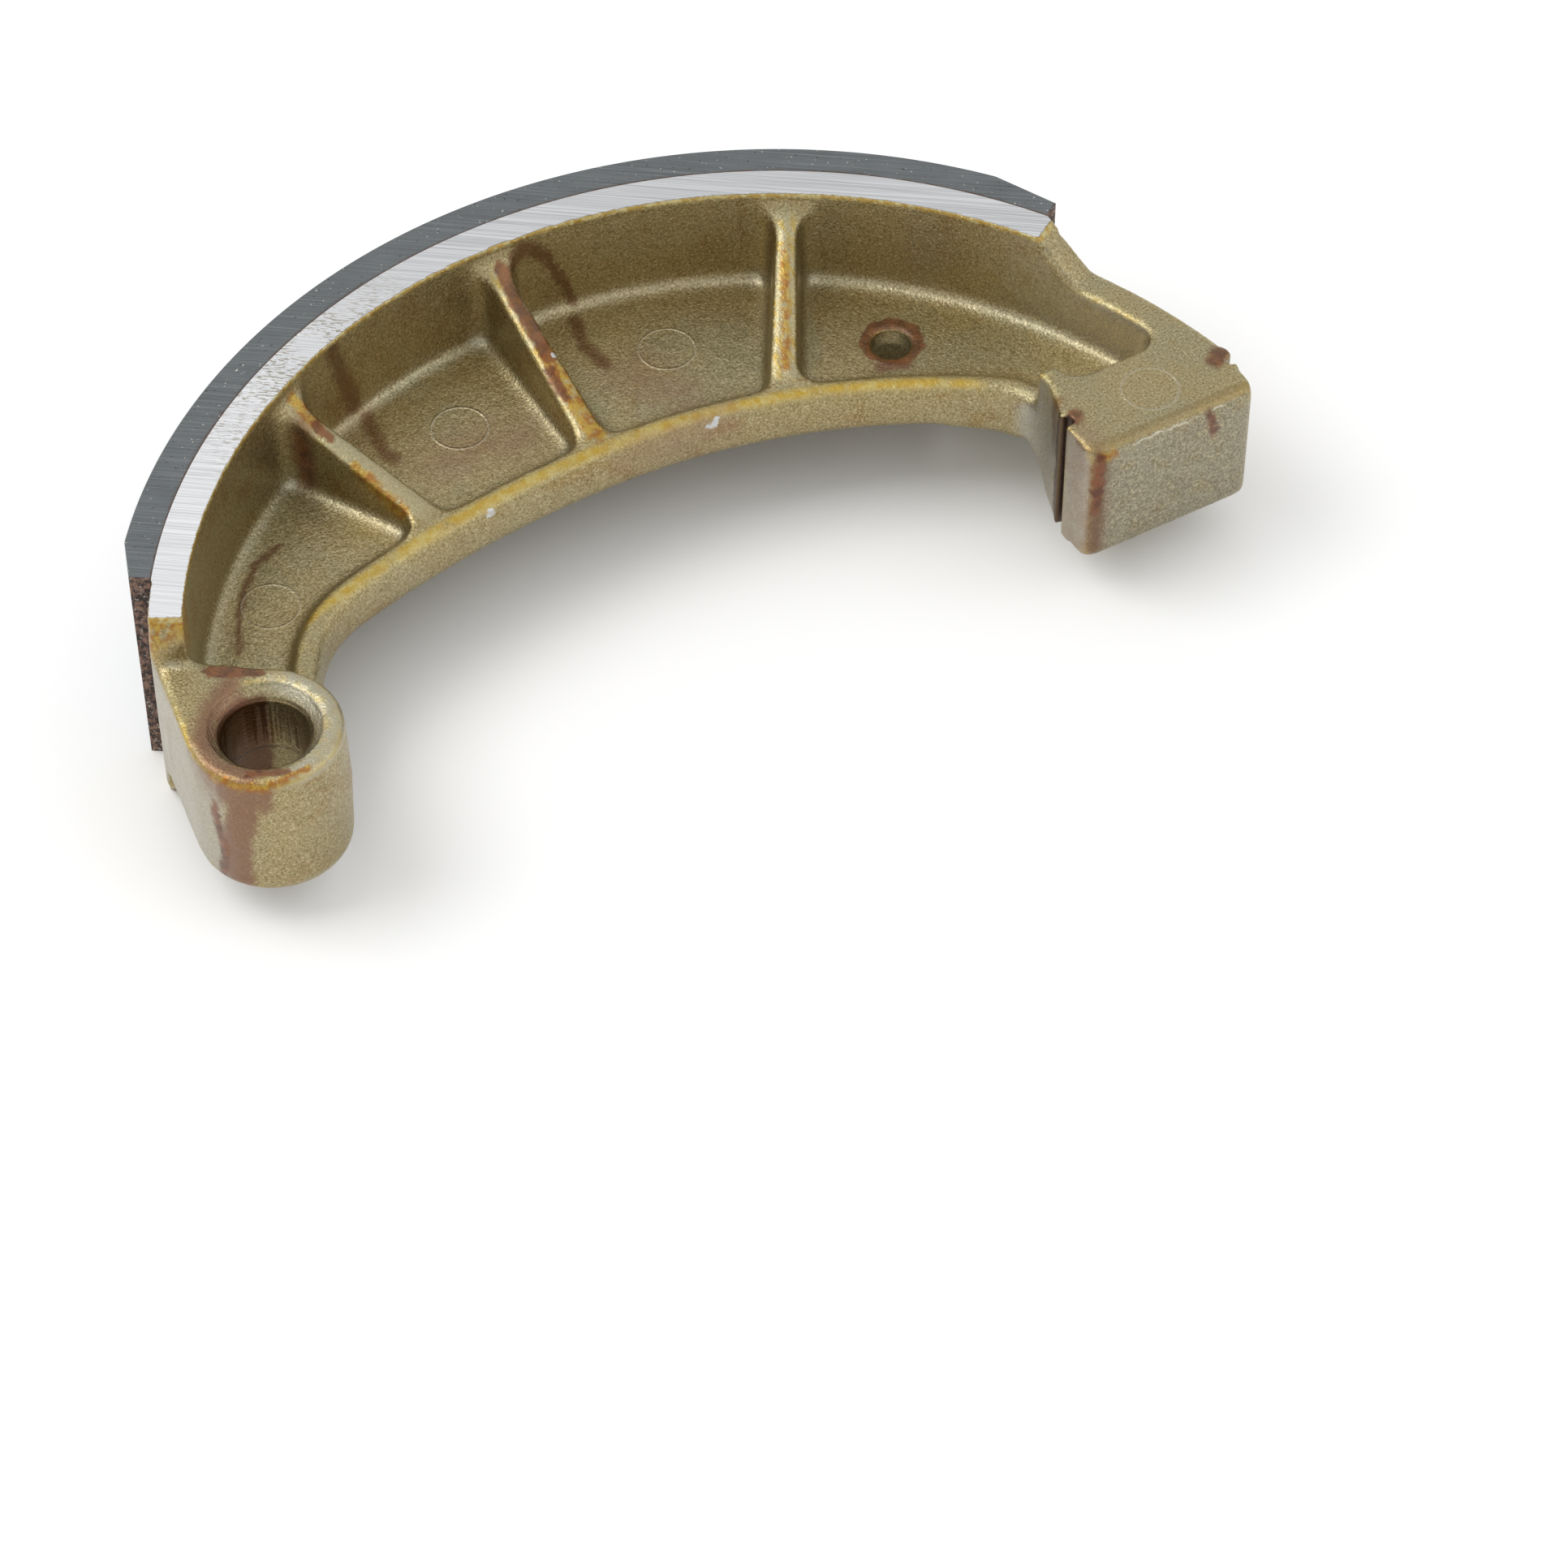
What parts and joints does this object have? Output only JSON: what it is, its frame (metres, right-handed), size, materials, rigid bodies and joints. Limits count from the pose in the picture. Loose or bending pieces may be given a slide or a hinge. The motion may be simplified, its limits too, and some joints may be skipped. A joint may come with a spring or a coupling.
{
  "type": "brake shoe",
  "caption": "Die-cast aluminium drum brake shoe with ribbed web, round pivot boss, cam pad and bonded friction lining.",
  "frame": {"origin": "axis of the pivot bore at mid width", "axes": "+Z along the drum axis, towards the face with the ejector marks; +X from the pivot boss towards the cam end, parallel to the cam pad; +Y outwards through the middle of the lining. The shoe lies on its side face at z = -15 mm."},
  "size_m": [0.1357, 0.0691, 0.03],
  "materials": {
    "casting": "chromated, rough cast",
    "lining": "ground friction material"
  },
  "bodies": {
    "root": {"shoe_casting": "casting", "friction_lining": "lining"}
  },
  "joints": []
}
